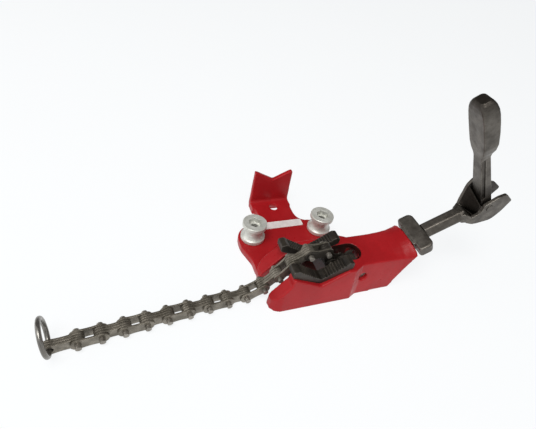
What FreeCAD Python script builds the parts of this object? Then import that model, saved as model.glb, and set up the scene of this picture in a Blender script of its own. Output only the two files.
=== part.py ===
import FreeCAD, Part
import os
from math import asin, cos, degrees, hypot, pi, radians, sin, tan

# Bench chain pipe vise with a top screw. Millimetres. The origin is on the bench under the
# middle of the jaws; +X runs along the vise towards the crank, +Y towards the bending spools
# and the pipe rest, +Z is up. The pipe lies along Y.

V = FreeCAD.Vector

# Screw axis: the end face of the neck is at s = 0; s grows outwards, h is square to it.
SCREW_TILT = 28.5
SCREW_X = 146.1
SCREW_Z = 61.6

# Base casting
CHANNEL_HALF = 14.5
CHANNEL_FRONT = 18.0
SEAT_Z = 35.0
SEAT_SLOPE = 0.5
SEAT_END_X = 38.0
NECK_TOP = 54.5
NECK_SECTIONS = ((50, 34, 26.5, 54.5, 54.5), (85, 33, 26.5, 54.5, 54.5), (100, 32.5, 26.8, 54.5, 55.8),
                 (115, 32.5, 27.5, 54.7, 59), (128, 33, 28.5, 55.5, 63.6), (140, 34.5, 30.5, 58, 69.4),
                 (152, 36.5, 33, 62, 76))
PLATE_TOP = 12.0
TONGUE_BOTTOM = 6.0
SLOT_END_R = 14.5
SLOT_END_X = 55.5
ROOF_Z = 46.0
SHANK_R = 7.0
SHANK_HOLE_R = 7.4
ACCESS_X = 67.0
ACCESS_Z = 31.5
ACCESS_R = 6.5
REST_Y = 163.5
REST_T = 7.0
REST_LEFT = -35.5
REST_RIGHT = 31.0
REST_TOP = 70.5
REAR_BOLT = (0.5, 147.7, 7.0)

# Spools and label
SPOOL_X = 54.5
SPOOL_Y = 87.0
SPOOL_R = 18.0
SPOOL_WAIST_R = 12.5
SPOOL_TOP = 43.0
SPOOL_BORE_R = 5.5
HEX_FLATS = 17.0
HEX_DEPTH = 8.0
LABEL = (-34.0, 34.0, 99.0, 113.0, 0.8)

# Jaws
JAW_INNER = 14.8
JAW_OUTER = 30.5
JAW_TIP_X = 43.0
JAW_FACE_X = 36.0
JAW_TOP = 67.5
JAW_BOTTOM = 43.5
TOOTH_PITCH = 4.0
TOOTH_DEPTH = 1.5
JAW_SCREW_X = 24.0
JAW_SCREW_Y = 23.0

# Thrust block, nut and crank, in screw coordinates (s, y, h)
BLOCK_START = 2.5
BLOCK_END = 24.5
BLOCK_HALF_Y = 31.5
BLOCK_LOW = -6.5
BLOCK_HIGH = 10.5
BARREL_START = 24.9
BARREL_END = 86.0
BARREL_R = 11.6
BARREL_FLATS = 21.2
EAR_IN = 12.0
EAR_OUT = 17.0
STOP_S = 108.0
PIVOT_S = 117.2
PIVOT_H = 6.5
PIVOT_R = 5.0
PIVOT_RUN = 0.08
CRANK_HALF_Y = 10.0
CRANK_LENGTH = 184.5
CRANK_LEAN = 4.4
CRANK_BASE = 10.0
CRANK_BOTTOM = -3.5

# Chain
PITCH = 25.4
EYE_R = 8.3
WAIST = 6.9
PIN_R = 3.5
PIN_HALF = 12.8
HOLE_R = 3.75
INNER_T = 2.9
INNER_STEP = 3.2
OUTER_IN = 5.0
OUTER_OUT = 7.6
GROUND_Z = 8.35
ANCHOR_S = -109.0
RISE = (87.0, 17.7, 64.2, 0.4, -30.1, -48.4, -39.8)
LINKS = 16
YAW_STEP = 1.45
YAW_FROM = 3
YAW_STEPS = 4
RING_R = 20.8
WIRE_R = 2.75
RING_HOLE_R = 4.2
RING_LEAN = 4.2
RING_LINK = 28.4


def rounded(points):
    """Closed wire in the XY plane through corners (x, y, radius)."""
    corners = []
    count = len(points)
    for i, (x, y, radius) in enumerate(points):
        here = V(x, y, 0)
        if not radius:
            corners.append((here, None, here))
            continue
        back = V(points[i - 1][0], points[i - 1][1], 0).sub(here).normalize()
        ahead = V(points[(i + 1) % count][0], points[(i + 1) % count][1], 0).sub(here).normalize()
        half = back.getAngle(ahead) / 2
        middle = back.add(ahead).normalize()
        reach = radius / tan(half)
        bulge = radius / sin(half) - radius
        corners.append((here + back * reach, here + middle * bulge, here + ahead * reach))
    edges = []
    for i, (first, middle, last) in enumerate(corners):
        if middle is not None:
            edges.append(Part.Arc(first, middle, last).toShape())
        following = corners[(i + 1) % count][0]
        if last.distanceToPoint(following) > 1e-6:
            edges.append(Part.LineSegment(last, following).toShape())
    return Part.Wire(edges)


def prism(points, low, high, plane="XY"):
    """Solid with a rounded outline in the named plane, from low to high along its normal."""
    solid = Part.Face(rounded(points)).extrude(V(0, 0, high - low))
    if plane == "XZ":
        solid.translate(V(0, 0, -high))
        solid.rotate(V(), V(1, 0, 0), 90)
    elif plane == "YZ":
        solid.translate(V(0, 0, low))
        solid.rotate(V(), V(1, 1, 1), 120)
    else:
        solid.translate(V(0, 0, low))
    return solid


def block(x0, x1, y0, y1, z0, z1):
    return Part.makeBox(x1 - x0, y1 - y0, z1 - z0, V(x0, y0, z0))


def rod(radius, start, direction, length):
    return Part.makeCylinder(radius, length, V(*start), V(*direction))


def fuse(*shapes):
    return shapes[0].multiFuse(list(shapes[1:])).removeSplitter()


def loft(sections):
    """Ruled solid through straight-sided sections given as lists of 3-D points."""
    wires = [Part.makePolygon([V(*p) for p in section + section[:1]]) for section in sections]
    return Part.makeLoft(wires, True, True)


def mirror_y(shape):
    return shape.mirror(V(), V(0, 1, 0))


def on_screw(shape):
    """Moves a shape from screw coordinates (s, y, h) into the vise frame."""
    placed = shape.copy()
    placed.Placement = FreeCAD.Placement(
        V(SCREW_X, 0, SCREW_Z), FreeCAD.Rotation(V(0, 1, 0), -SCREW_TILT)
    ).multiply(placed.Placement)
    return placed


def screw_point(s, y, h):
    a = radians(SCREW_TILT)
    return V(SCREW_X + s * cos(a) - h * sin(a), y, SCREW_Z + s * sin(a) + h * cos(a))


def save(name, *solids):
    shape = solids[0] if len(solids) == 1 else Part.makeCompound(list(solids))
    shape.exportStep("parts/" + name + ".step")
    print(name, len(shape.Solids), shape.isValid(), round(shape.Volume / 1000, 2))


# ---------------------------------------------------------------- base casting

def housing():
    """Walls under the jaws, drafted inwards, with a rounded left end."""
    foot = [(-64, -15), (-67, -22), (-66, -30), (-61, -36.5), (-53, -39.5),
            (50, -39.5), (54, -37), (63, -33)]
    head = [(-60, -15), (-62, -20), (-61, -26), (-57, -31), (-51, -33.5),
            (48, -33.5), (52, -31), (60, -27)]
    sections = []
    for z, side in ((0, foot), (60, head)):
        sections.append([(x, y, z) for x, y in side] + [(x, -y, z) for x, y in reversed(side)])
    walls = loft(sections)
    seat = SEAT_Z + SEAT_SLOPE * SEAT_END_X
    profile = [(-74, -1, 0), (-74, 14, 0), (-66, 15, 8), (-55, 29, 20), (-43, 44, 8),
               (-SEAT_END_X - 3.5, seat, 2.5), (-SEAT_END_X, seat, 0), (0, SEAT_Z, 6),
               (SEAT_END_X, seat, 0), (64, NECK_TOP, 0), (64, -1, 0)]
    return walls.common(prism(profile, -60, 60, "XZ"))


def ramp():
    """Web that rises from the plate to the rear wall, with its foot as a crease on the plate."""
    foot = [(-67, 12), (-39.5, 48), (-23, 69), (34, 70), (64, 52), (66, 12)]
    head = [(-52, 12), (-38, 32), (-30, 35), (38, 35), (50, 32), (52, 12)]
    body = loft([[(x, y, 6) for x, y in foot], [(x, y, 50) for x, y in head]])
    limit = [(-80, 0, 0), (-62, 18, 0), (-SEAT_END_X, 50, 0), (0, SEAT_Z - 3, 6),
             (SEAT_END_X, 50, 0), (70, 50, 0), (70, 0, 0)]
    return body.common(prism(limit, 0, 90, "XZ"))


def neck():
    """Hollow neck with an arched top that flares to the end face, undercut below."""
    sections = []
    for x, foot, head, edge, crown in NECK_SECTIONS:
        arch = [(x, head * k / 5, edge + (crown - edge) * (1 - (k / 5) ** 2)) for k in range(-5, 6)]
        sections.append([(x, -foot, 0)] + arch + [(x, foot, 0)])
    undercut = prism([(118, -1, 0), (118, 0, 0), (145.5, 61, 0), (175, 100, 0), (175, -1, 0)],
                     -60, 60, "XZ")
    beyond = on_screw(block(0, 60, -60, 60, -60, 60))
    return loft(sections).cut(fuse(undercut, beyond))


def wing():
    """Flat plate that carries the spools and the pipe rest."""
    edge = [(REST_RIGHT, 168, 0), (28.5, 140, 60), (29.5, 112, 17), (72, 107, 18),
            (71.5, 60, 30), (66, 30, 6), (20, 0, 0), (-66.5, 0, 0), (-67.3, 44, 30),
            (-76, 72, 16), (-76, 111, 26), (-31, 113, 17), (-30.5, 140, 60), (REST_LEFT, 168, 0)]
    return prism(edge, 0, PLATE_TOP, "XY")


def pipe_rest():
    """Plate bent up at the back with a V notch for the pipe."""
    profile = [(148, 0, 0), (REST_Y + REST_T, 0, 11), (REST_Y + REST_T, 90, 0),
               (REST_Y, 90, 0), (REST_Y, PLATE_TOP, 5), (148, PLATE_TOP, 0)]
    plate = prism(profile, REST_LEFT, REST_RIGHT, "YZ")
    face = [(REST_LEFT, -1, 0), (REST_LEFT + 2, REST_TOP + 1, 1), (-29.5, REST_TOP, 1),
            (-1.5, 55, 4), (25, REST_TOP - 1.5, 1), (REST_RIGHT - 2, REST_TOP - 1, 1),
            (REST_RIGHT, -1, 0)]
    return plate.common(prism(face, 140, 180, "XZ"))


def base_casting():
    slope = prism([(-90, 12, 0), (-67.5, 12, 0), (-33, 52, 0), (-33, 90, 0), (-90, 90, 0)],
                  0, 90, "XZ")
    body = fuse(fuse(housing(), ramp()).cut(slope), neck(), wing(), pipe_rest())
    left = block(-90, -6, -CHANNEL_HALF, CHANNEL_HALF, -1, 90)
    mouth = prism([(-90, -CHANNEL_FRONT - 2, 0), (-62, -CHANNEL_FRONT, 0), (-39, -CHANNEL_FRONT, 6),
                   (-28, -CHANNEL_HALF, 6), (-20, -CHANNEL_HALF, 0), (-20, 0, 0), (-90, 0, 0)],
                  -1, 90, "XY")
    right = block(6, SLOT_END_X, -CHANNEL_HALF, CHANNEL_HALF, -1, 90)
    slot_end = rod(SLOT_END_R, (SLOT_END_X, 0, -1), (0, 0, 1), 91)
    inside = prism([(50, -1, 0), (98, -1, 0), (112, 30, 6), (112, ROOF_Z, 4), (50, ROOF_Z, 0)],
                   -CHANNEL_HALF, CHANNEL_HALF, "XZ")
    above_web = block(-7, 7, -CHANNEL_HALF, CHANNEL_HALF, SEAT_Z - 1, 90)
    body = body.cut(fuse(left, mouth, right, slot_end, inside, above_web))
    tools = [block(-24, 22, 124, 156, -1, TONGUE_BOTTOM),
             on_screw(rod(SHANK_HOLE_R, (-70, 0, 0), (1, 0, 0), 75)),
             rod(ACCESS_R, (ACCESS_X, -50, ACCESS_Z), (0, 1, 0), 100),
             rod(REAR_BOLT[2], (REAR_BOLT[0], REAR_BOLT[1], -1), (0, 0, 1), 20)]
    for side in (-1, 1):
        tools.append(rod(SPOOL_BORE_R, (side * SPOOL_X, SPOOL_Y, -1), (0, 0, 1), 20))
    for x, y in jaw_screw_places():
        tools.append(rod(3.3, (x, y, -1), (0, 0, 1), 70))
        tools.append(rod(5.5, (x, y, -1), (0, 0, 1), 31))
    return body.cut(Part.makeCompound(tools))


def channel_pins():
    """Wear pins pressed into the side walls, recessed outside, flush with the channel inside."""
    pins = []
    for side in (-1, 1):
        inner = side * (CHANNEL_HALF + 0.3)
        pins.append(rod(ACCESS_R, (ACCESS_X, inner, ACCESS_Z), (0, side, 0), 10))
    return pins


# ---------------------------------------------------------------- jaws

def jaw_screw_places():
    return [(sx * JAW_SCREW_X, sy * JAW_SCREW_Y) for sx in (-1, 1) for sy in (-1, 1)]


def jaw():
    """Rear V jaw on the sloping seats, with teeth across both inner faces."""
    seat = SEAT_Z + SEAT_SLOPE * JAW_TIP_X
    outline = [(0, SEAT_Z, 6), (JAW_TIP_X, seat, 2), (JAW_TIP_X, JAW_TOP - 1, 2),
               (JAW_FACE_X, JAW_TOP, 1),
               (0, JAW_BOTTOM, 3), (-JAW_FACE_X, JAW_TOP, 1), (-JAW_TIP_X, JAW_TOP - 1, 2),
               (-JAW_TIP_X, seat, 2)]
    body = prism(outline, JAW_INNER, JAW_OUTER, "XZ")
    rise = JAW_TOP - JAW_BOTTOM
    length = hypot(JAW_FACE_X, rise)
    slope = degrees(asin(rise / length))
    grooves = []
    start = 6.0
    while start < length - 9:
        groove = prism([(start, 0.5, 0), (start + TOOTH_PITCH / 2, -TOOTH_DEPTH, 0),
                        (start + TOOTH_PITCH, 0.5, 0)], 0, 40, "XZ")
        groove.rotate(V(), V(0, 1, 0), -slope)
        groove.translate(V(0, 0, JAW_BOTTOM))
        grooves.append(groove)
        grooves.append(groove.mirror(V(), V(1, 0, 0)))
        start += TOOTH_PITCH
    body = body.cut(Part.makeCompound(grooves))
    holes = [rod(3.0, (x, y, 30), (0, 0, 1), 21) for x, y in jaw_screw_places() if y > 0]
    return body.cut(Part.makeCompound(holes))


def jaw_screws():
    """Socket cap screws that come up through the casting into the jaws."""
    screws = []
    for x, y in jaw_screw_places():
        head = rod(5.0, (x, y, 24), (0, 0, 1), 6)
        shank = rod(3.0, (x, y, 29), (0, 0, 1), 21.5)
        socket = prism([(x + 2.9 * cos(k * pi / 3), y + 2.9 * sin(k * pi / 3), 0) for k in range(6)],
                       23, 27.5, "XY")
        screws.append(fuse(head, shank).cut(socket))
    return screws


# ---------------------------------------------------------------- spools and label

def spool(side):
    """Turned post with two flanges, a waist, a hexagonal bolt-head recess and a bore."""
    low = PLATE_TOP
    top = SPOOL_TOP
    middle = (low + top) / 2
    half = [V(0, 0, low), V(SPOOL_R - 1, 0, low), V(SPOOL_R, 0, low + 1), V(SPOOL_R, 0, low + 6)]
    mirrored = [V(p.x, 0, low + top - p.z) for p in reversed(half)]
    waist = Part.Arc(half[-1], V(SPOOL_WAIST_R, 0, middle), mirrored[0]).toShape()
    edges = [Part.makeLine(a, b) for a, b in zip(half, half[1:])] + [waist]
    edges += [Part.makeLine(a, b) for a, b in zip(mirrored, mirrored[1:])]
    edges.append(Part.makeLine(mirrored[-1], half[0]))
    body = Part.Face(Part.Wire(edges)).revolve(V(), V(0, 0, 1), 360)
    corner = HEX_FLATS / 2 / cos(pi / 6)
    recess = prism([(corner * cos(k * pi / 3 + 0.3), corner * sin(k * pi / 3 + 0.3), 0)
                    for k in range(6)], top - HEX_DEPTH, top + 1, "XY")
    body = body.cut(fuse(recess, rod(SPOOL_BORE_R, (0, 0, 0), (0, 0, 1), 60)))
    body.translate(V(side * SPOOL_X, SPOOL_Y, 0))
    return body


def label_plate():
    x0, x1, y0, y1, thick = LABEL
    edge = [(x0, y0, 2), (x1, y0, 2), (x1, y1, 2), (x0, y1, 2)]
    return prism(edge, PLATE_TOP, PLATE_TOP + thick, "XY")


# ---------------------------------------------------------------- screw, nut and crank

def thrust_block():
    """Bar across the end of the neck that takes the nut's thrust."""
    bar = prism([(BLOCK_START, -BLOCK_HALF_Y, 4), (BLOCK_END, -BLOCK_HALF_Y, 8),
                 (BLOCK_END, BLOCK_HALF_Y, 8), (BLOCK_START, BLOCK_HALF_Y, 4)],
                BLOCK_LOW, BLOCK_HIGH, "XY")
    faces = (BLOCK_LOW, BLOCK_HIGH)
    rim = [e for e in bar.Edges if min(abs(e.CenterOfMass.z - z) for z in faces) < 0.01]
    bar = bar.makeFillet(2.5, rim)
    boss = block(0, BLOCK_START + 3, -17, 17, BLOCK_LOW + 1, BLOCK_HIGH - 1)
    return on_screw(fuse(bar, boss).cut(rod(SHANK_HOLE_R, (-5, 0, 0), (1, 0, 0), 40)))


def chain_screw():
    """Shank that only slides, with a fork at its lower end for the last chain link."""
    shank = rod(SHANK_R, (-80, 0, 0), (1, 0, 0), 140)
    fork = block(ANCHOR_S, -78, -12.9, 12.9, -9.5, 9.5)
    end = rod(9.5, (ANCHOR_S, -12.9, 0), (0, 1, 0), 25.8)
    gap = block(ANCHOR_S - 12, ANCHOR_S + 17, -5.2, 5.2, -12, 12)
    hole = rod(PIN_R, (ANCHOR_S, -20, 0), (0, 1, 0), 40)
    return on_screw(fuse(shank, fork, end).cut(fuse(gap, hole)))


def anchor_pin():
    return on_screw(rod(PIN_R, (ANCHOR_S, -12.9, 0), (0, 1, 0), 25.8))


def handle_nut():
    """Threaded barrel forged in one piece with a two-eared yoke."""
    corner = BARREL_FLATS / 2 / cos(pi / 6)
    hexagon = prism([(corner * cos(k * pi / 3), corner * sin(k * pi / 3), 0) for k in range(6)],
                    BARREL_START, BARREL_END, "YZ")
    barrel = hexagon.common(rod(BARREL_R, (0, 0, 0), (1, 0, 0), 120))
    heel = [(83, -9, 4), (99, -16, 20), (121, -23, 16)]
    near = heel + [(137, -14, 20), (152, 0, 3), (144, 17, 6), (132, 19.5, 10), (110, 16, 4),
                   (104, 4, 8), (90, 2, 6), (83, 5, 2)]
    far = heel + [(156, -3, 4), (148, 12, 6), (113.5, 44.5, 5), (103.5, 36.5, 6), (88, 4, 3)]
    under = heel + [(136, -14.5, 0), (131, -10, 0), (121, -17, 6), (101, -10, 8), (90, 2, 4),
                    (83, 5, 2)]
    far_stop = [(88, 4), (103.5, 36.5), (106, 36.5), (STOP_S, 12), (STOP_S, -16), (96, -14)]
    near_stop = [(103, 3), (105, 14.5), (106.5, 14.5), (STOP_S, 12), (STOP_S, -16), (101, -15)]
    stop = loft([[(x, EAR_IN, z) for x, z in far_stop], [(x, -EAR_IN, z) for x, z in near_stop]])
    root = [(78, -9, 3), (90, -9, 0), (90, 5, 3), (84, 9, 0), (78, 9, 3)]
    yoke = fuse(prism(near, -EAR_OUT, -EAR_IN, "XZ"), prism(far, EAR_IN, EAR_OUT, "XZ"),
                prism(under, -EAR_IN, EAR_IN, "XZ"), prism(root, -EAR_OUT, EAR_OUT, "XZ"), stop)
    plan = prism([(70, -10, 0), (81, -10, 12), (90, -EAR_OUT, 10), (160, -EAR_OUT, 0),
                  (160, EAR_OUT, 0), (90, EAR_OUT, 10), (81, 10, 12), (70, 10, 0)], -30, 60, "XY")
    bore = rod(SHANK_R + 0.3, (0, 0, 0), (1, 0, 0), BARREL_END)
    pivot = rod(PIVOT_R, (PIVOT_S, -30, PIVOT_H), (0, 1, 0), 60)
    solid = fuse(barrel, yoke.common(plan))
    return on_screw(solid.cut(fuse(bore, pivot)))


def crank_pivot_pin():
    half = EAR_OUT + 0.8
    pin = rod(PIVOT_R, (PIVOT_S, -half, PIVOT_H), (0, 1, 0), 2 * half)
    ends = [e for e in pin.Edges if abs(abs(e.CenterOfMass.y) - half) < 0.01]
    return on_screw(pin.makeChamfer(0.8, ends))


def crank_section(height, half_y, back, front, radius):
    wire = rounded([(-back, -half_y, radius), (front, -half_y, radius),
                    (front, half_y, radius), (-back, half_y, radius)])
    wire.translate(V(PIVOT_S, 0, CRANK_BASE + height))
    return wire


def crank_handle():
    """Folding crank: pivot eye, grooved arm and a thumb-shaped paddle, standing along h."""
    eye = rod(8.5, (PIVOT_S, -CRANK_HALF_Y - 1, PIVOT_H), (0, 1, 0), 2 * CRANK_HALF_Y + 2)
    stem = [(CRANK_BOTTOM, 10.4, 8.2, 8.2, 1.6), (50, 9.4, 7.4, 7.4, 1.6), (101, 8.4, 6.4, 6.4, 1.6)]
    arm = Part.makeLoft([crank_section(*section) for section in stem], True, True)
    grooves = []
    for side in (-1, 1):
        panel = [(PIVOT_S - 7.2, CRANK_BASE + 14, 2.2), (PIVOT_S - 1.8, CRANK_BASE + 14, 2.2),
                 (PIVOT_S - 0.8, CRANK_BASE + 92, 2.2), (PIVOT_S - 5.8, CRANK_BASE + 92, 2.2)]
        low, high = sorted((side * (CRANK_HALF_Y - 3.8), side * (CRANK_HALF_Y + 2)))
        grooves.append(prism(panel, low, high, "XZ"))
    blade = [(93, 8.6, 6.5, 6.5, 2), (99, 9.6, 6.8, 8, 2), (106, 12.6, 7.2, 10.8, 2),
             (116, 14.6, 7.4, 12.4, 2), (134, 15.2, 7.6, 13, 2), (152, 15.3, 8, 13, 2.4),
             (164, 15.1, 8.4, 12.8, 3), (172, 14.4, 8.6, 12.2, 3.6), (178, 12.9, 8.4, 11, 4.4),
             (181.8, 10.8, 7.6, 9.4, 4.8), (CRANK_LENGTH, 7.6, 5.4, 6.8, 4)]
    paddle = Part.makeLoft([crank_section(*section) for section in blade], True, True)
    hole = rod(PIVOT_R + PIVOT_RUN, (PIVOT_S, -30, PIVOT_H), (0, 1, 0), 60)
    crank = fuse(eye, arm, paddle).cut(Part.makeCompound(grooves + [hole]))
    crank.rotate(V(PIVOT_S, 0, PIVOT_H), V(0, 1, 0), -CRANK_LEAN)
    return on_screw(crank)


# ---------------------------------------------------------------- chain

def plate(low, high, hole_a, hole_b, pitch=PITCH):
    """Waisted plate with eyes at x = 0 and x = pitch, lying from low to high along Y."""
    flank = (pitch * pitch / 4 + WAIST ** 2 - EYE_R ** 2) / (2 * (EYE_R - WAIST))
    reach = EYE_R / (EYE_R + flank)
    tx = pitch / 2 * reach
    tz = (WAIST + flank) * reach
    left_up, left_down = V(tx, 0, tz), V(tx, 0, -tz)
    right_up, right_down = V(pitch - tx, 0, tz), V(pitch - tx, 0, -tz)
    wire = Part.Wire([
        Part.Arc(left_up, V(-EYE_R, 0, 0), left_down).toShape(),
        Part.Arc(left_down, V(pitch / 2, 0, -WAIST), right_down).toShape(),
        Part.Arc(right_down, V(pitch + EYE_R, 0, 0), right_up).toShape(),
        Part.Arc(right_up, V(pitch / 2, 0, WAIST), left_up).toShape()])
    solid = Part.Face(wire).extrude(V(0, high - low, 0))
    solid.translate(V(0, low, 0))
    for x, radius in ((0, hole_a), (pitch, hole_b)):
        solid = solid.cut(rod(radius, (x, low - 1, 0), (0, 1, 0), high - low + 2))
    return solid


def inner_plates(hole_a=HOLE_R, hole_b=HOLE_R, pitch=PITCH):
    half = INNER_T / 2
    return [plate(y - half, y + half, hole_a, hole_b, pitch) for y in (-INNER_STEP, 0, INNER_STEP)]


def outer_plates():
    return [plate(-OUTER_OUT, -OUTER_IN, PIN_R, PIN_R), plate(OUTER_IN, OUTER_OUT, PIN_R, PIN_R)]


def outer_pins():
    return [rod(PIN_R, (x, -PIN_HALF, 0), (0, 1, 0), 2 * PIN_HALF) for x in (0, PITCH)]


def chain_places():
    """Placement of every link, from the anchor to the ring link, origin at its far pin."""
    places = []
    pin = screw_point(ANCHOR_S, 0, 0)
    for number in range(LINKS + 1):
        if number < len(RISE):
            pitch = RISE[number]
        else:
            pitch = -degrees(asin((pin.z - GROUND_Z) / PITCH))
        yaw = YAW_STEP * min(max(number - YAW_FROM + 1, 0), YAW_STEPS)
        turn = FreeCAD.Rotation(V(0, 0, 1), yaw).multiply(FreeCAD.Rotation(V(0, 1, 0), pitch))
        pin = pin - turn.multVec(V(PITCH if number < LINKS else RING_LINK, 0, 0))
        places.append(FreeCAD.Placement(pin, turn))
    return places


def placed(solids, place):
    result = []
    for solid in solids:
        copy = solid.copy()
        copy.Placement = place.multiply(copy.Placement)
        result.append(copy)
    return result


def save_chain():
    for number, place in enumerate(chain_places(), 1):
        axis = place.Rotation.multVec(V(0, 1, 0))
        near = place.multVec(V(PITCH if number <= LINKS else RING_LINK, 0, 0))
        print("joint", number, [round(c / 1000, 6) for c in near], [round(c, 6) for c in axis])
        if number == LINKS + 1:
            save("ring_link", *placed(inner_plates(RING_HOLE_R, HOLE_R, RING_LINK), place))
            save("finger_ring", *placed([finger_ring()], place))
            print("ring", [round(c / 1000, 6) for c in place.Base], [round(c, 6) for c in axis])
        elif number % 2:
            save(f"inner_link_{number:02d}", *placed(inner_plates(), place))
        else:
            save(f"outer_link_{number:02d}", *placed(outer_plates(), place))
            save(f"link_pins_{number:02d}", *placed(outer_pins(), place))


def finger_ring():
    """Welded wire ring through the last eye, standing up."""
    ring = Part.makeTorus(RING_R, WIRE_R, V(0, 0, RING_R), V(1, 0, 0))
    ring.rotate(V(), V(0, 1, 0), -RING_LEAN)
    return ring


def main():
    os.makedirs("parts", exist_ok=True)
    save("base_casting", base_casting())
    save("channel_pins", *channel_pins())
    save("rear_jaw", jaw())
    save("front_jaw", mirror_y(jaw()))
    save("jaw_screws", *jaw_screws())
    save("left_spool", spool(-1))
    save("right_spool", spool(1))
    save("label_plate", label_plate())
    save("thrust_block", thrust_block())
    save("chain_screw", chain_screw())
    save("anchor_pin", anchor_pin())
    save("handle_nut", handle_nut())
    save("crank_pivot_pin", crank_pivot_pin())
    save("crank_handle", crank_handle())
    save_chain()


main()
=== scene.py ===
import math

import bmesh
import bpy
import numpy as np
from mathutils import Matrix, Vector


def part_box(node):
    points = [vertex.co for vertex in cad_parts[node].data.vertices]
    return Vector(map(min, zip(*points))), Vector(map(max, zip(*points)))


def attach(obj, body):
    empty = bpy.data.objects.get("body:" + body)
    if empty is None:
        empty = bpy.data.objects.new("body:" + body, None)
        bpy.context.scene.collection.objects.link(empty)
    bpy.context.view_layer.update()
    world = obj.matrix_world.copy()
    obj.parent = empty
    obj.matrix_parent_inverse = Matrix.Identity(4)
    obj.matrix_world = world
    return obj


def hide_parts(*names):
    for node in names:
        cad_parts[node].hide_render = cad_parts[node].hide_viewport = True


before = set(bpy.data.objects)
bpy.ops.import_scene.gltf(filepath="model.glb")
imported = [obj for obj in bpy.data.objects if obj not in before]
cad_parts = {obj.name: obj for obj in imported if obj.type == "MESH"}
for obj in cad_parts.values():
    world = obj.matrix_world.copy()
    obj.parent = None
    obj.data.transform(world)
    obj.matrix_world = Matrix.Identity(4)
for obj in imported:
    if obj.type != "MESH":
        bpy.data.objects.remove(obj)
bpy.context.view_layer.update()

# Metres, in the frame's own axes: +X towards the crank, +Y towards the spools, +Z up.
CAMERA_AT = (-0.2362, -0.3087, 0.4518)
CAMERA_TURN = Vector((2.306, -0.296, 0.346))
CAMERA_LENS = 27.79
SPOOL_X = 0.0545
SPOOL_Y = 0.087
LINKS = 16
JAWED_LINK = 4
SLOT_END_X = 0.0555
# One smoothing step pulls each vertex towards its neighbours' mean, the next pushes it back.
PULL = 0.5
PUSH = 0.53
RINGS = 9000.0
# Where painted shade starts and stops: each pair is the start and the end of a soft edge.
CHANNEL_WALL = (0.0153, 0.0147)
CHANNEL_MOUTH = (-0.055, -0.03)
EAR_INSIDE = (0.0132, 0.0118)
YOKE_REACH = (0.086, 0.094)
CRANK_FOOT = (0.058, 0.03)
CRANK_CROWN = (0.172, 0.196)
PLATE_FACE = (0.0066, 0.0074)
SPOOL_BORE = (0.0062, 0.0052)
# The screw's own axes: along it from the neck's end face, and square to it.
SCREW_AXIS = (0.8788, 0, 0.4772)
SCREW_START = 0.1578
SCREW_RISE = (-0.4772, 0, 0.8788)
SCREW_RISE_START = -0.0156
# Steels: dark and light patches, worn edges.
FORGED = {"dark": (0.075, 0.066, 0.056), "light": (0.15, 0.136, 0.118), "worn": (0.3, 0.28, 0.25),
          "metallic": 0.8, "rough": 0.42}
BLACK_OXIDE = {"dark": (0.013, 0.01, 0.007), "light": (0.042, 0.034, 0.025), "worn": (0.17, 0.145, 0.12),
               "metallic": 0.3, "rough": 0.42}
CHAIN_STEEL = {"dark": (0.13, 0.115, 0.09), "light": (0.27, 0.243, 0.2), "worn": (0.45, 0.42, 0.36),
               "metallic": 0.65, "rough": 0.42, "patch": 90}
# A darker copy of the chain steel, as painted shade for the first chain links and the chain screw.
SHADED_CHAIN_STEEL = {"dark": (0.022, 0.018, 0.014), "light": (0.07, 0.06, 0.048), "worn": (0.25, 0.23, 0.2),
                "metallic": 0.5, "rough": 0.4, "patch": 90}
PIN_STEEL = {"dark": (0.2, 0.182, 0.155), "light": (0.36, 0.335, 0.295), "worn": (0.5, 0.47, 0.42),
             "metallic": 0.72, "rough": 0.34, "patch": 120}
BRIGHT_WIRE = {"dark": (0.17, 0.16, 0.145), "light": (0.27, 0.26, 0.24), "worn": (0.4, 0.4, 0.38),
               "metallic": 0.8, "rough": 0.3, "patch": 50, "pits": 1200, "bump": 0.1}
# Near-black colour of the painted shade laid on the steels.
SHADE_COLOUR = (0.016, 0.012, 0.009)


# ---------------------------------------------------------------- mesh tools

def neighbour_mean(values, edges, count):
    """Mean of each vertex's neighbours, for an array with one row a vertex."""
    total = np.zeros_like(values)
    for near, far in ((0, 1), (1, 0)):
        for k in range(values.shape[1]):
            total[:, k] += np.bincount(edges[:, near], weights=values[edges[:, far], k],
                                       minlength=len(values))
    return total / count[:, None]


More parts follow.
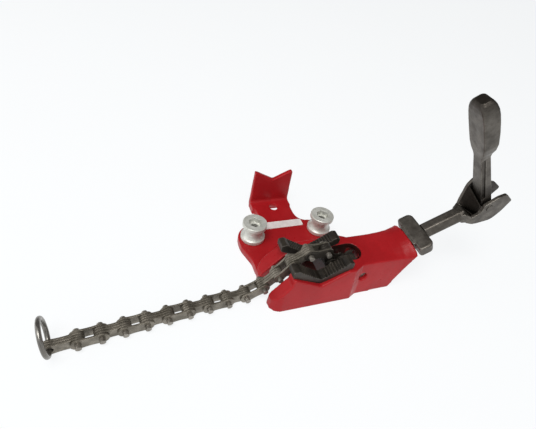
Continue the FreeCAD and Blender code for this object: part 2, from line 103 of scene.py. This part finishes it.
def recast(node, body, voxel, flatten, soften, name, material):
    """A piece with the node's shape, its edges and creases rounded as a casting or forging has them."""
    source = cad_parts[node]
    mesh = source.data.copy()
    welded = bmesh.new()
    welded.from_mesh(mesh)
    bmesh.ops.remove_doubles(welded, verts=welded.verts, dist=1e-6)
    welded.to_mesh(mesh)
    welded.free()
    shell = bpy.data.objects.new("shell", mesh)
    bpy.context.scene.collection.objects.link(shell)
    remesh = shell.modifiers.new("remesh", "REMESH")
    remesh.mode = "VOXEL"
    remesh.voxel_size = voxel
    graph = bpy.context.evaluated_depsgraph_get()
    final = bpy.data.meshes.new_from_object(shell.evaluated_get(graph))
    bpy.data.objects.remove(shell)

    points = np.zeros(len(final.vertices) * 3)
    final.vertices.foreach_get("co", points)
    points = points.reshape(-1, 3)
    edges = np.zeros(len(final.edges) * 2, np.int32)
    final.edges.foreach_get("vertices", edges)
    edges = edges.reshape(-1, 2)
    count = np.maximum(np.bincount(edges.ravel(), minlength=len(points)), 1)
    for _ in range(flatten):
        points += PULL * (neighbour_mean(points, edges, count) - points)
        points -= PUSH * (neighbour_mean(points, edges, count) - points)
    for _ in range(soften):
        points += PULL * (neighbour_mean(points, edges, count) - points)
    low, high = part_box(node)
    points = np.clip(points, np.array(low), np.array(high))
    final.vertices.foreach_set("co", points.ravel())
    final.update()
    normals = np.zeros(len(points) * 3)
    final.vertex_normals.foreach_get("vector", normals)
    lift = points - neighbour_mean(points, edges, count)
    bulge = (lift * normals.reshape(-1, 3)).sum(axis=1, keepdims=True) / voxel
    for _ in range(2):
        bulge = neighbour_mean(bulge, edges, count)
    attribute = final.attributes.new("edge", "FLOAT", "POINT")
    attribute.data.foreach_set("value", np.clip(bulge.ravel() * 4, -1, 1).astype(np.float32))
    final.polygons.foreach_set("use_smooth", np.ones(len(final.polygons), bool))
    final.materials.clear()
    final.materials.append(material)
    piece = bpy.data.objects.new(name, final)
    bpy.context.scene.collection.objects.link(piece)
    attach(piece, body)
    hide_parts(node)


def dress(node, material, width=0.0003):
    """Material and softened edges for a CAD node that keeps its shape."""
    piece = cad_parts[node]
    piece.data.materials.clear()
    piece.data.materials.append(material)
    piece.data.polygons.foreach_set("use_smooth", np.ones(len(piece.data.polygons), bool))
    weld = piece.modifiers.new("weld", "WELD")
    weld.merge_threshold = 1e-6
    if width:
        bevel = piece.modifiers.new("bevel", "BEVEL")
        bevel.width = width
        bevel.segments = 2
        bevel.limit_method = "ANGLE"
        bevel.angle_limit = math.radians(40)
    shade = piece.modifiers.new("shade", "WEIGHTED_NORMAL")
    shade.keep_sharp = False


# ---------------------------------------------------------------- materials

class Look:
    """A Principled material with helpers for its nodes."""

    def __init__(self, name, **sockets):
        self.material = bpy.data.materials.new(name)
        self.material.use_nodes = True
        self.tree = self.material.node_tree
        self.shader = self.tree.nodes["Principled BSDF"]
        for key, value in sockets.items():
            self.shader.inputs[key.replace("_", " ")].default_value = value
        self.place = self.add("ShaderNodeTexCoord").outputs["Object"]
        self.edge = self.add("ShaderNodeAttribute", attribute_name="edge").outputs["Fac"]
        self.xyz = self.add("ShaderNodeSeparateXYZ", {0: self.place}).outputs

    def add(self, kind, links=None, **settings):
        node = self.tree.nodes.new(kind)
        for key, value in settings.items():
            setattr(node, key, value)
        for key, value in (links or {}).items():
            if isinstance(value, bpy.types.NodeSocket):
                self.tree.links.new(value, node.inputs[key])
            else:
                node.inputs[key].default_value = value
        return node

    def noise(self, scale, detail=3.0):
        return self.add("ShaderNodeTexNoise",
                        {"Vector": self.place, "Scale": scale, "Detail": detail}).outputs[0]

    def span(self, value, low, high, start=0.0, end=1.0):
        return self.add("ShaderNodeMapRange", {"Value": value, "From Min": low, "From Max": high,
                                               "To Min": start, "To Max": end}).outputs[0]

    def math(self, operation, a, b=0.0):
        return self.add("ShaderNodeMath", {0: a, 1: b}, operation=operation).outputs[0]

    def mix(self, factor, a, b):
        a = a + (1.0,) if isinstance(a, tuple) else a
        b = b + (1.0,) if isinstance(b, tuple) else b
        return self.add("ShaderNodeMix", {0: factor, 6: a, 7: b}, data_type="RGBA").outputs[2]

    def along(self, direction, start):
        """How far a point lies along a direction, from a start distance."""
        dot = self.add("ShaderNodeVectorMath", {0: self.place, 1: direction}, operation="DOT_PRODUCT")
        return self.math("SUBTRACT", dot.outputs["Value"], start)

    def wire(self, socket, value):
        self.tree.links.new(value, self.shader.inputs[socket])

    def bumps(self, *layers):
        normal = None
        for height, strength, distance in layers:
            links = {"Height": height, "Strength": strength, "Distance": distance}
            if normal is not None:
                links["Normal"] = normal
            normal = self.add("ShaderNodeBump", links).outputs[0]
        self.wire("Normal", normal)


def red_paint():
    look = Look("red_paint", Coat_Weight=0.04, Coat_Roughness=0.15, Specular_IOR_Level=0.18)
    colour = look.mix(look.span(look.noise(20), 0.35, 0.65), (0.34, 0.009, 0.012), (0.41, 0.014, 0.018))
    colour = look.mix(look.span(look.noise(260, 5), 0.55, 0.75, 0, 0.22), colour, (0.22, 0.003, 0.005))
    # Painted shade: the red darkens in the creases.
    crease = look.span(look.edge, -0.1, -0.7, 0, 0.6)
    colour = look.mix(crease, colour, (0.11, 0.003, 0.004))
    rub = look.math("MULTIPLY", look.span(look.edge, 0.2, 0.6), look.span(look.noise(150, 4), 0.4, 0.65))
    colour = look.mix(look.math("MULTIPLY", rub, 0.35), colour, (0.55, 0.05, 0.05))
    # Painted shade: near black inside the chain channel, from its mouth to the slot's rounded end, a
    # little uneven.
    past = look.math("MAXIMUM", look.math("SUBTRACT", look.xyz[0], SLOT_END_X), 0.0)
    flat = look.add("ShaderNodeCombineXYZ", {0: past, 1: look.xyz[1]}).outputs[0]
    reach = look.add("ShaderNodeVectorMath", {0: flat}, operation="LENGTH").outputs["Value"]
    channel = look.math("MULTIPLY", look.span(reach, *CHANNEL_WALL),
                        look.span(look.xyz[0], *CHANNEL_MOUTH))
    channel_shade = look.math("MULTIPLY", channel, look.span(look.noise(90, 4), 0.2, 0.6, 0.75, 0.97))
    colour = look.mix(channel_shade, colour, (0.014, 0.009, 0.007))
    look.wire("Base Color", colour)
    look.wire("Roughness", look.span(look.noise(90, 4), 0.3, 0.7, 0.27, 0.4))
    look.bumps((look.noise(45, 2), 0.25, 0.002), (look.noise(650, 3), 0.12, 0.0004))
    return look.material


def steel(name, dark, light, worn, metallic, rough, patch=60, pits=900, bump=0.25, painted_shade=None):
    """Forged, oxidised or worn steel: patchy colour, brighter edges, fine pitting."""
    look = Look(name, Metallic=metallic)
    colour = look.mix(look.span(look.noise(patch, 4), 0.35, 0.65), dark, light)
    colour = look.mix(look.span(look.noise(patch * 7, 5), 0.5, 0.72, 0, 0.5), colour, dark)
    edge = look.math("MULTIPLY", look.span(look.edge, 0.12, 0.6), look.span(look.noise(300, 4), 0.3, 0.6))
    colour = look.mix(edge, colour, worn)
    crease = look.span(look.edge, -0.08, -0.5, 0, 0.7)
    colour = look.mix(crease, colour, tuple(c * 0.35 for c in dark))
    # Optional painted shade: near black where the given mask says.
    if painted_shade:
        colour = look.mix(painted_shade(look), colour, SHADE_COLOUR)
    look.wire("Base Color", colour)
    look.wire("Roughness", look.span(look.noise(patch * 3, 4), 0.3, 0.7, rough - 0.07, rough + 0.09))
    look.bumps((look.noise(patch * 4, 3), bump, 0.0008), (look.noise(pits, 3), bump * 0.6, 0.0003))
    return look.material


def yoke_shade(look):
    """Painted shade between the yoke's ears."""
    side = look.math("ABSOLUTE", look.xyz[1])
    between = look.span(side, *EAR_INSIDE)
    beyond = look.span(look.along(SCREW_AXIS, SCREW_START), *YOKE_REACH)
    return look.math("MULTIPLY", look.math("MULTIPLY", between, beyond), 0.9)


def crank_shade(look):
    """Painted shade at the crank's foot, between the ears, and on its crown."""
    height = look.along(SCREW_RISE, SCREW_RISE_START)
    foot = look.span(height, *CRANK_FOOT, 0, 0.85)
    crown = look.span(height, *CRANK_CROWN, 0, 0.8)
    return look.math("MAXIMUM", foot, crown)


def plate_shade(look):
    """Painted shade on the outer faces of a link that lies between the jaws."""
    return look.span(look.math("ABSOLUTE", look.xyz[1]), *PLATE_FACE, 0, 0.85)


def zinc():
    """Turned and zinc plated: rings round the spool's axis on a pale satin metal."""
    look = Look("zinc", Metallic=0.35)
    side = look.add("ShaderNodeVectorMath", {0: look.place}, operation="ABSOLUTE").outputs[0]
    away = look.add("ShaderNodeVectorMath", {0: side, 1: (SPOOL_X, SPOOL_Y, 0)},
                    operation="SUBTRACT").outputs[0]
    flat = look.add("ShaderNodeVectorMath", {0: away, 1: (1, 1, 0)}, operation="MULTIPLY").outputs[0]
    radius = look.add("ShaderNodeVectorMath", {0: flat}, operation="LENGTH").outputs["Value"]
    rings = look.math("SINE", look.math("MULTIPLY", radius, RINGS))
    colour = look.mix(look.span(look.noise(70, 4), 0.35, 0.65), (0.56, 0.56, 0.51), (0.74, 0.74, 0.69))
    colour = look.mix(look.span(look.noise(420, 5), 0.58, 0.75, 0, 0.5), colour, (0.33, 0.34, 0.31))
    # Painted shade: the zinc darkens inside the spool's bore.
    bore_shade = look.span(radius, *SPOOL_BORE)
    colour = look.mix(look.math("MULTIPLY", bore_shade, 0.5), colour, (0.2, 0.2, 0.18))
    look.wire("Base Color", colour)
    look.wire("Roughness", look.span(look.noise(200, 4), 0.3, 0.7, 0.3, 0.46))
    look.bumps((rings, 0.05, 0.0001), (look.noise(700, 3), 0.12, 0.0002))
    return look.material


def label():
    look = Look("label")
    colour = look.mix(look.span(look.noise(90, 3), 0.35, 0.65), (0.72, 0.66, 0.65), (0.83, 0.79, 0.77))
    colour = look.mix(look.span(look.noise(900, 4), 0.62, 0.72, 0, 0.4), colour, (0.5, 0.35, 0.34))
    look.wire("Base Color", colour)
    look.wire("Roughness", look.span(look.noise(300), 0.3, 0.7, 0.3, 0.45))
    look.bumps((look.noise(500), 0.1, 0.0002))
    return look.material


def floor_material():
    look = Look("floor", Roughness=0.9, Emission_Strength=0.85, Emission_Color=(0.975, 0.99, 1.0, 1.0))
    look.wire("Base Color", look.mix(look.noise(3), (0.14, 0.142, 0.144), (0.15, 0.152, 0.154)))
    return look.material


# ---------------------------------------------------------------- studio

def studio():
    bpy.ops.mesh.primitive_plane_add(size=12, location=(0, 0, -0.0002))
    floor = bpy.context.object
    floor.name = "floor"
    floor.data.materials.append(floor_material())

    for name, at, size, watts, tint in (
            ("key", (-0.6, -0.5, 2.0), 1.2, 31, (1.0, 0.99, 0.97)),
            ("side", (-1.7, 0.3, 0.8), 1.2, 6, (1.0, 1.0, 1.0)),
            ("front", (0.6, -1.8, 0.7), 1.2, 1.5, (1.0, 1.0, 1.0))):
        data = bpy.data.lights.new(name, "AREA")
        data.size = size
        data.energy = watts
        data.color = tint
        lamp = bpy.data.objects.new(name, data)
        lamp.location = at
        lamp.rotation_mode = "QUATERNION"
        lamp.rotation_quaternion = (-Vector(at)).to_track_quat("-Z", "Y")
        bpy.context.scene.collection.objects.link(lamp)

    world = bpy.data.worlds.new("studio")
    bpy.context.scene.world = world
    world.use_nodes = True
    tree = world.node_tree
    sky = tree.nodes["Background"]
    sky.inputs["Strength"].default_value = 1.0
    place = tree.nodes.new("ShaderNodeTexCoord")
    dot = tree.nodes.new("ShaderNodeVectorMath")
    dot.operation = "DOT_PRODUCT"
    dot.inputs[1].default_value = Vector((0.33, 0.66, 0.67)).normalized()
    shade = tree.nodes.new("ShaderNodeValToRGB")
    shade.color_ramp.elements[0].position = 0.0
    shade.color_ramp.elements[0].color = (0.48, 0.49, 0.5, 1)
    shade.color_ramp.elements[1].position = 0.65
    shade.color_ramp.elements[1].color = (0.12, 0.12, 0.12, 1)
    tree.links.new(place.outputs["Generated"], dot.inputs[0])
    tree.links.new(dot.outputs["Value"], shade.inputs[0])
    tree.links.new(shade.outputs[0], sky.inputs["Color"])
    bpy.context.scene.view_settings.view_transform = "Standard"


def camera():
    turn = Matrix.Rotation(CAMERA_TURN.length, 3, CAMERA_TURN.normalized())
    data = bpy.data.cameras.new("camera")
    data.sensor_width = 36
    data.lens = CAMERA_LENS
    data.clip_start = 0.01
    view = bpy.data.objects.new("camera", data)
    facing = Matrix((turn[0], -turn[1], -turn[2])).transposed()
    view.matrix_world = Matrix.Translation(CAMERA_AT) @ facing.to_4x4()
    bpy.context.scene.collection.objects.link(view)
    bpy.context.scene.camera = view


# ---------------------------------------------------------------- the vise

def build():
    paint = red_paint()
    block = steel("block_steel", **FORGED)
    # The nut, the crank and the link between the jaws carry painted shade.
    nut = steel("nut_steel", painted_shade=yoke_shade, **FORGED)
    crank = steel("crank_steel", painted_shade=crank_shade, **FORGED)
    black = steel("black_oxide", **BLACK_OXIDE)
    chain = steel("chain_steel", **CHAIN_STEEL)
    jawed = steel("jawed_steel", painted_shade=plate_shade, **CHAIN_STEEL)
    shaded_chain = steel("shaded_chain_steel", **SHADED_CHAIN_STEEL)
    pins = steel("pin_steel", **PIN_STEEL)
    wire = steel("bright_wire", **BRIGHT_WIRE)
    plated = zinc()

    recast("base_casting", "base", 0.001, 8, 4, "base_body", paint)
    recast("handle_nut", "nut", 0.0006, 5, 3, "nut_body", nut)
    recast("crank_handle", "crank", 0.0006, 4, 2, "crank_body", crank)
    recast("thrust_block", "base", 0.0007, 4, 3, "block_body", block)
    for side in ("rear", "front"):
        recast(side + "_jaw", "base", 0.0005, 2, 1, side + "_jaw_body", black)
    for node in ("left_spool", "right_spool"):
        dress(node, plated, 0.0004)
    dress("label_plate", label(), 0.0003)
    dress("jaw_screws", black, 0.0002)
    dress("channel_pins", pins)
    dress("chain_screw", shaded_chain, 0.0004)
    dress("anchor_pin", pins)
    dress("crank_pivot_pin", nut, 0)
    for number in range(1, LINKS + 1):
        # The first links take the darker painted-shade copy of the chain steel; the link between the jaws
        # has painted shade on its outer faces.
        plates = shaded_chain if number < JAWED_LINK else jawed if number == JAWED_LINK else chain
        if number % 2:
            dress(f"inner_link_{number:02d}", plates, 0.0004)
        else:
            dress(f"outer_link_{number:02d}", plates, 0.0004)
            dress(f"link_pins_{number:02d}", pins, 0.0006)
    dress("ring_link", chain, 0.0004)
    dress("finger_ring", wire, 0)


build()
studio()
camera()
